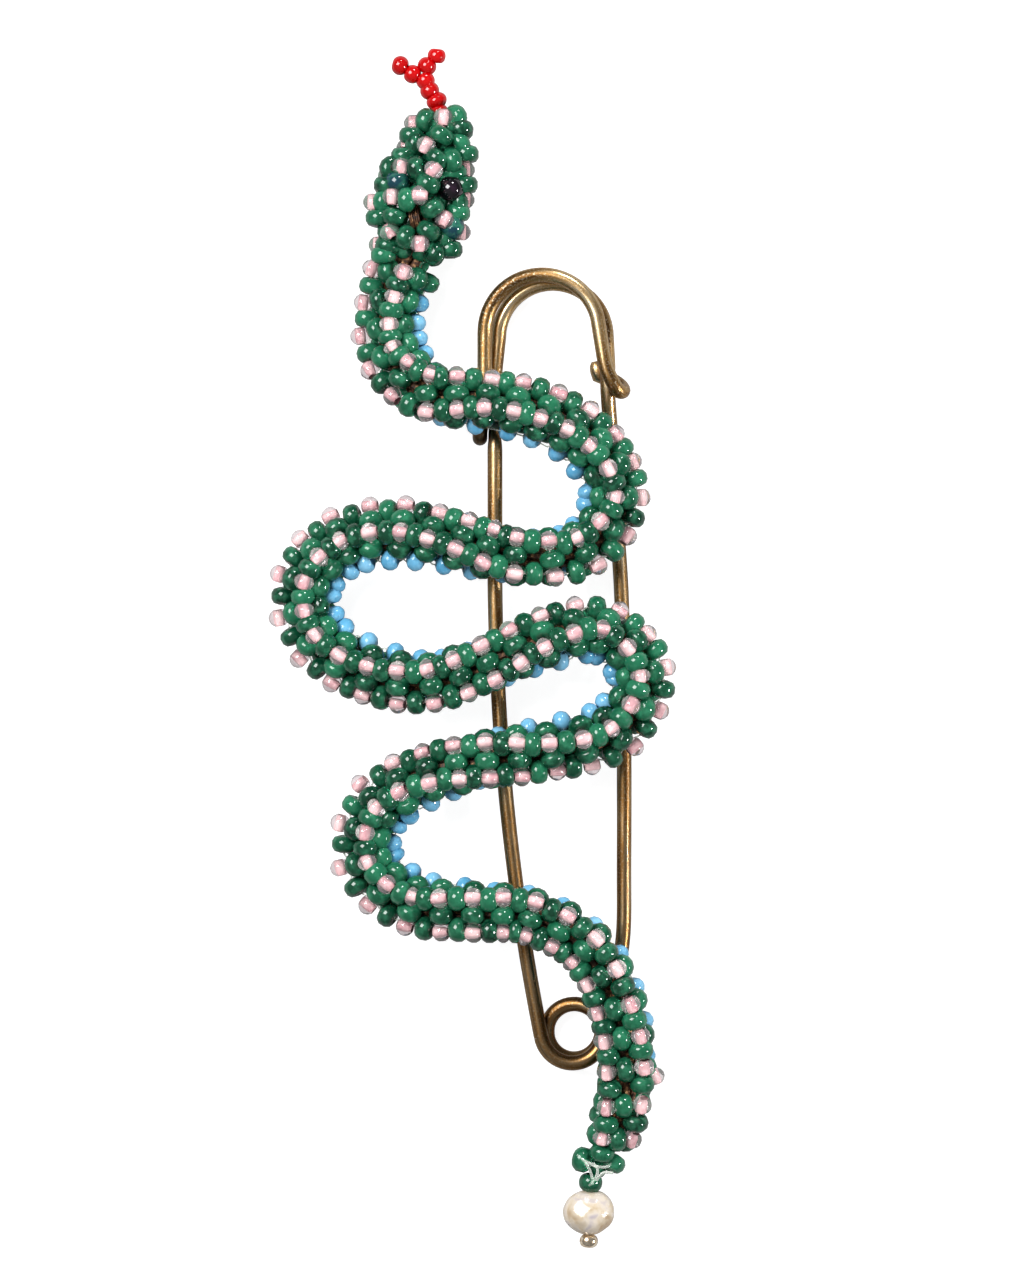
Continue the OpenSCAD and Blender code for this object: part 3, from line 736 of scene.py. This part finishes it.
coilPoints = []
for step in range(pin["coilSteps"] + 1):
    angle = coilStart + (pin["coilEnd"] - coilStart) * step / pin["coilSteps"]
    reach = pin["coilStartRadius"] + (
        (pin["coilWaistRadius"] - pin["coilStartRadius"]) * rising(angle, coilStart, pin["coilWaistAt"])
        + (pin["coilRadius"] - pin["coilWaistRadius"]) * rising(angle, pin["coilWaistAt"], pin["coilEnd"])
    )
    z = front + (rear - front) * rising(angle, pin["dropStart"], pin["dropEnd"])
    lean = math.radians(angle)
    coilPoints.append(dot(coilMiddle[0] + reach * math.cos(lean), coilMiddle[1] + reach * math.sin(lean), z))
coilWire = tube(coilPoints, pin["radius"] * mm, pin["rounds"], pin["step"] * mm)
coilWire.name = "coilWire"
coilWire.data.materials.append(brass)
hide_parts("pin_coil")
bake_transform(coilWire)

# Needle: from the tip up a shoulder to the shank, down the straight, and round one slow curve to the coil
topX, topY = pin["shankTop"]
shankTop = dot(topX, topY, front)
needlePoints = [shankTop + dot(*pin["pointOffset"]), shankTop + dot(0, pin["shoulder"], 0), shankTop]
straightSteps, curveSteps = pin["straightSteps"], pin["curveSteps"]
for step in range(1, straightSteps + curveSteps + 1):
    bend = max(0, step - straightSteps) / curveSteps * turn
    down = min(step, straightSteps) / straightSteps * pin["straight"] + pin["curveRadius"] * math.sin(bend)
    needlePoints.append(dot(topX + pin["curveRadius"] * (1 - math.cos(bend)), topY - down, front))
needleWire = tube(needlePoints, pin["radius"] * mm, pin["rounds"], pin["step"] * mm, pin["point"])
dress(needleWire, "needleWire", "needle", ["pin_needle"], brass)
print("pin ready")


# A finished bead, rounded by a subdivision
def roundBead(name, size, material, middle, hole, tone=0.5):
    master = beadMaster(name, inMetres(size), [material])
    bead = copyBead(master, beadMatrix(middle, hole), tone)
    bpy.data.objects.remove(master)
    rounding = bead.modifiers.new("rounding", "SUBSURF")
    rounding.levels = rounding.render_levels = 2
    onlySelect(bead)
    bpy.ops.object.modifier_apply(modifier="rounding")
    return bead


# Eyes: one on the upper right, one behind the left
eyes = {
    "front": (-2.2, 42.95, 5.45), "back": (-6.6, 42.9, 1.5), "hole": (0.1, 1, 0),
    "bead": {
        "radius": 1.28, "waist": 0.34, "shoulder": 0.88, "shoulderAt": 0.98, "hole": 0.2, "half": 1.42, "sides": 12
    }
}
for side in ("front", "back"):
    eye = roundBead("eye", eyes["bead"], eyeGlass, dot(*eyes[side]), Vector(eyes["hole"]))
    dress(eye, side + "Eye", "brooch", ["eye_" + side])

# Tongue: eight red beads on a forked thread
tongue = {
    "z": 3.0, "thread": 0.1, "threadEnd": 0.62, "tilt": 0.12, "root": (-3.3, 49.2), "fork": (-4.85, 53.75),
    "bead": {
        "radius": 0.95, "waist": 0.22, "shoulder": 0.74, "shoulderAt": 0.62, "hole": 0.2, "half": 0.90, "sides": 12
    },
    "widths": [1.0, 1.1, 1.0, 0.98, 0.98, 1.02, 1.0, 0.95], "lengths": [1.0, 1.0, 1.0, 1.0, 1.0, 1.0, 1.0, 0.92],
    "stem": [(-3.3, 50.2), (-3.55, 51.3), (-4.2, 52.25), (-4.6, 53.2)],
    "left": [(-5.8, 53.8), (-6.95, 54.6)], "leftTipLean": (1, 0.3, 1),  # the left tip's bead hangs level
    "right": [(-4.45, 54.55), (-3.55, 55.5)], "rightTipLean": (0.1, 1, 1)  # the right tip's bead stands up
}
lines = [
    [tongue["root"]] + tongue["stem"] + [tongue["fork"]],
    [tongue["fork"]] + tongue["left"], [tongue["fork"]] + tongue["right"]
]
count = 0
tongueThreads = []
for line in lines:
    spots = [dot(x, y, tongue["z"]) for x, y in line]
    if line is not lines[0]:
        spots.append(spots[-1] + (spots[-1] - spots[-2]).normalized() * tongue["threadEnd"] * mm)
    for i in range(1, len(spots) - 1):
        count += 1
        along = (spots[i + 1] - spots[i - 1]).normalized() + wobble(tongue["tilt"])
        if i == len(spots) - 2 and line is not lines[0]:
            along *= Vector(tongue["leftTipLean" if line is lines[1] else "rightTipLean"])
        size = dict(tongue["bead"])
        for key in ("waist", "shoulderAt", "half"):
            size[key] *= tongue["lengths"][count - 1]
        size["radius"] *= tongue["widths"][count - 1]
        bead = roundBead("tongueBead", size, redGlass, spots[i], along, random.random())
        dress(bead, "tongueBead" + str(count), "brooch", ["tongue_bead_" + str(count)])
    tongueThreads.append(tube(spots, tongue["thread"] * mm, rounds=2))
dress(joined(tongueThreads), "tongueThread", "brooch", ["tongue_thread"], nylon)
print("eyes and tongue ready")

# Tail: the rope's last loose beads, one more green bead, a pearl and a gold end bead, all on one thread
tail = {
    "top": (11.8, -47.4, 2.8), "bead": (10.85, -49.85, 2.5), "pearl": (10.75, -52.74, 2.3),
    "end": (10.68, -55.34, 2.3), "thread": 0.1, "threadEnd": 0.62,
    "greenBead": {
        "radius": 1.17, "waist": 0.30, "shoulder": 0.92, "shoulderAt": 0.74, "hole": 0.3, "half": 0.98, "sides": 12
    },
    "endBead": {
        "radius": 0.92, "waist": 0.24, "shoulder": 0.68, "shoulderAt": 0.56, "hole": 0.22, "half": 0.70, "sides": 12
    },
    "loose": [  # place, then the way of the hole
        [(10.1, -47.7, 3.0), (0.9, -0.2, 0.45)], [(11.9, -47.05, 3.7), (0.15, 1, 0.1)],
        [(12.9, -48.0, 2.7), (0.5, 1, -0.3)], [(11.4, -48.3, 1.9), (1, 0.3, 0)]
    ],
    "strands": [
        [(9.6, -47.2, 3.9), (10.4, -48.0, 4.15), (10.9, -49.0, 3.7), (11.05, -50.0, 3.6)],
        [(11.1, -48.0, 4.1), (11.5, -48.6, 4.0), (11.3, -49.4, 3.7), (10.7, -50.1, 3.5)],
        [(9.9, -47.5, 4.1), (11.2, -48.2, 4.3), (12.4, -48.3, 4.0), (13.0, -47.6, 3.6)],
        [(12.9, -48.9, 3.5), (12.0, -48.9, 3.9), (11.4, -49.6, 3.6)]
    ],
    "strand": 0.13, "looseWidth": 1.03, "beadHole": (0.1, 1, 0.15), "beadTone": 0.3, "endHole": (0.05, 1, 0.1)
}
tailBead = roundBead(
    "tailBead", tail["greenBead"], greenGlass, dot(*tail["bead"]), Vector(tail["beadHole"]), tail["beadTone"]
)
dress(tailBead, "tailGreenBead", "brooch", ["tail_bead"])
looseBeads = [
    copyBead(greenBead, beadMatrix(dot(*place), Vector(hole), tail["looseWidth"]), greenTone())
    for place, hole in tail["loose"]
]
dress(joined(looseBeads), "tailLooseBeads", "brooch", ["snake_body"])

# Pearl, in millimetres: reaches of its outline at every thirty degrees from the right, and dents by x, y, how wide
# and how deep, on both faces
pearlForm = {
    "reach": [2.34, 2.36, 2.30, 2.15, 2.28, 2.42, 2.48, 2.32, 2.08, 2.02, 2.08, 2.22], "depth": 2.05,
    "dents": [(-0.9, 0.6, 0.8, 0.16), (0.5, -0.3, 0.7, 0.14), (0.1, 1.4, 0.6, 0.22), (1.3, 0.9, 0.6, 0.10)],
    "dentFrom": 0.3, "lumps": 0.18, "lumpSize": 1.4, "segments": 64, "rings": 40
}
bpy.ops.mesh.primitive_uv_sphere_add(
    segments=pearlForm["segments"], ring_count=pearlForm["rings"], radius=1, location=(0, 0, 0)
)
pearl = bpy.context.object
for vertex in pearl.data.vertices:
    x, y, z = vertex.co
    turnShare = (math.degrees(math.atan2(y, x)) % 360) / 30
    ring = pearlForm["reach"][-1:] + pearlForm["reach"] + pearlForm["reach"][:2]
    reach = through([[value] for value in ring], turnShare + 1)[0]
    x, y, z = x * reach, y * reach, z * pearlForm["depth"]
    for dentX, dentY, wide, deep in pearlForm["dents"]:
        near = math.exp(-((x - dentX) ** 2 + (y - dentY) ** 2) / wide ** 2)
        z -= math.copysign(deep * near, z) if abs(z) > pearlForm["dentFrom"] else 0
    vertex.co = dot(x, y, z)
lumps = bpy.data.textures.new("lumps", "CLOUDS")
lumps.noise_scale = pearlForm["lumpSize"] * mm
swell = pearl.modifiers.new("lumps", "DISPLACE")
swell.texture = lumps
swell.texture_coords = "LOCAL"
swell.strength = pearlForm["lumps"] * mm
swell.mid_level = 0.5
onlySelect(pearl)
bpy.ops.object.modifier_apply(modifier="lumps")
bpy.ops.object.shade_smooth()
pearl.data.transform(Matrix.Translation(dot(*tail["pearl"])))
dress(pearl, "pearl", "brooch", ["pearl"], nacre)
endBead = roundBead("endBead", tail["endBead"], gold, dot(*tail["end"]), Vector(tail["endHole"]))
dress(endBead, "goldEndBead", "brooch", ["end_bead"])
tailStops = [dot(*tail[key]) for key in ("top", "bead", "pearl", "end")]
tailStops.append(tailStops[-1] - dot(0, tail["threadEnd"], 0))
dress(tube(tailStops, tail["thread"] * mm, rounds=2), "tailThread", "brooch", ["tail_thread"], nylon)
tailStrands = [tube(smoothLine(places, steps=8), tail["strand"] * mm, rounds=2) for places in tail["strands"]]
dress(joined(tailStrands), "tailStrands", "brooch", ["snake_body"], nylon)
print("tail ready")

# Inside the rope: a bundle of copper strands, thick and dark so that it also gives painted shade in the gaps,
# and the nylon that the beads hang on
inside = {
    "strands": 6, "strandRadius": 0.45, "bundleRadius": 0.78, "twist": 20, "from": -5, "to": 64, "perUnit": 3,
    "headGap": [(-6.15, 41.4, 5.4), (-6.05, 40.5, 6.0), (-5.85, 39.5, 6.0), (-5.8, 38.7, 5.4)],
    "gapStrands": 5, "gapStrandRadius": 0.13, "gapPitch": 0.2, "gapRise": 0.07,
    "thread": 0.08, "threadRun": [(0, -30, 1.75), (0, 30, 1.75), (0.3, 45, 2.2), (0.7, 45, 2.2)]  # unit, angle, reach
}
strands = []
for k in range(inside["strands"]):
    points = []
    for i in range((inside["to"] - inside["from"]) * inside["perUnit"] + 1):
        unit = inside["from"] + i / inside["perUnit"]
        angle = 360 * k / inside["strands"] + inside["twist"] * unit
        points.append(ropePoint(unit, angle, inside["bundleRadius"]))
    strands.append(tube(points, inside["strandRadius"] * mm, rounds=1))
dress(joined(strands), "coreStrands", "brooch", ["snake_body"], copperAndGapShade)
strands = []
for k in range(inside["gapStrands"]):  # the few that show in a gap of the head
    places = [(x + inside["gapPitch"] * k, y, z + inside["gapRise"] * (k % 2)) for x, y, z in inside["headGap"]]
    strands.append(tube(smoothLine(places, steps=8), inside["gapStrandRadius"] * mm, rounds=2))
dress(joined(strands), "headStrands", "brooch", ["snake_head"], copperAndGapShade)
threads = []
for face in range(4):
    for phase in (0, 1):
        points = []
        for unit in range(rope["neckUnit"], rope["tailUnit"]):
            swing = 1 if (unit + phase) % 2 else -1
            for place, angle, reach in inside["threadRun"]:
                points.append(ropePoint(unit + place, 90 * face + swing * angle, reach))
        threads.append(tube(points, inside["thread"] * mm, rounds=0))
dress(joined(threads), "weaveThread", "brooch", ["snake_body"], nylon)

# Stitches that hold the rope on the fixed bar: three turns of thread at each place, by x and y of the bar and how
# high they reach into the rope
stitch = {
    "places": [(13.1, 16.6, 3.5), (13.45, 10.4, 3.5), (13.85, 1.2, 3.5), (13.95, -6.0, 3.5), (13.7, -29.8, 4.6)],
    "turns": 3, "perTurn": 12, "pitch": 0.22, "across": 0.82, "bottom": -0.06, "thread": 0.07
}
stitches = []
for x, y, top in stitch["places"]:
    loop = []
    for i in range(stitch["perTurn"] * stitch["turns"] + 1):
        turns = i / stitch["perTurn"]
        lean = 2 * math.pi * turns
        z = stitch["bottom"] + (top - stitch["bottom"]) * (0.5 - 0.5 * math.cos(lean))
        loop.append(dot(x + stitch["across"] * math.sin(lean), y + stitch["pitch"] * turns, z))
    stitches.append(tube(loop, stitch["thread"] * mm, rounds=1))
dress(joined(stitches), "barStitches", "brooch", ["snake_body"], nylon)
print("strands, threads and stitches ready")

for master in (greenBead, pinkBead, blueBead):
    bpy.data.objects.remove(master)

# Floor and light: a white studio, dim towards the brooch, a little brighter above and on the left, and white where
# it is looked at, also through the clear glass. The floor lies just under the lowest beads and stitches.
studio = {
    "backdrop": 1.0, "ceiling": 0.28, "walls": 0.19, "left": 1.25, "right": 0.75, "throughGlass": 0.7,
    "floorSize": 8, "floorDrop": 0.3, "floorGlow": 0.92, "floorBounce": 0.05
}
bpy.ops.mesh.primitive_plane_add(size=studio["floorSize"], location=(0, 0, -studio["floorDrop"] * mm))
floor = bpy.context.object
floor.name = "floor"
paper = newMaterial("whitePaper")  # matt card with a mottle of 3 mm, lit a little from within to read as white
paperPlace = addNode(paper, "ShaderNodeTexCoord").outputs["Object"]
paperWhite = ramp(paper, noise(paper, paperPlace, 3 * mm, 3), [(0.3, "989898"), (0.7, "a0a0a0")])


# One where the camera sees a thing, a share of it through clear glass, and nothing for other rays
def lookedAt(material):
    path = addNode(material, "ShaderNodeLightPath").outputs
    return addNode(
        material, "ShaderNodeMath",
        {0: path["Is Transmission Ray"], 1: studio["throughGlass"], 2: path["Is Camera Ray"]},
        operation="MULTIPLY_ADD"
    ).outputs[0]


glow = ranged(paper, lookedAt(paper), (0, 1), (studio["floorBounce"], studio["floorGlow"]))
finished(
    paper,
    {"Base Color": paperWhite, "Roughness": 0.9, "Emission Color": (1, 1, 1, 1), "Emission Strength": glow}
)
floor.data.materials.append(paper)

lights = [
    {"name": "keyLeft", "at": (-0.30, 0.24, 0.52), "size": 0.34, "power": 5.2},
    {"name": "lowRight", "at": (0.52, -0.12, 0.26), "size": 0.05, "power": 2.5},
    {"name": "topLight", "at": (0.14, 0.50, 0.30), "size": 0.07, "power": 1.4}
]
for light in lights:
    aim = Vector(light["at"]).to_track_quat("Z", "Y").to_euler()
    bpy.ops.object.light_add(type="AREA", location=light["at"], rotation=aim)
    lamp = bpy.context.object
    lamp.name = light["name"]
    lamp.data.size = light["size"]
    lamp.data.energy = light["power"]

world = bpy.data.worlds.new("studio")
bpy.context.scene.world = world
world.use_nodes = True
sky = addNode(world, "ShaderNodeTexCoord")
away = addNode(world, "ShaderNodeSeparateXYZ", {0: sky.outputs["Generated"]})
fromWalls = ranged(world, away.outputs["Z"], (0.1, 0.9), (studio["walls"], studio["ceiling"]))
fromLeft = ranged(world, away.outputs["X"], (-1, 1), (studio["left"], studio["right"]))
brightness = addNode(world, "ShaderNodeMath", {0: fromWalls, 1: fromLeft}, operation="MULTIPLY")
strength = addNode(
    world, "ShaderNodeMix", {0: lookedAt(world), 2: brightness.outputs[0], 3: studio["backdrop"]},
    data_type="FLOAT"
)
background = world.node_tree.nodes["Background"]
background.inputs["Color"].default_value = (1, 1, 1, 1)
world.node_tree.links.new(strength.outputs[0], background.inputs["Strength"])
bpy.context.scene.view_settings.view_transform = "Standard"
print("floor and light ready")
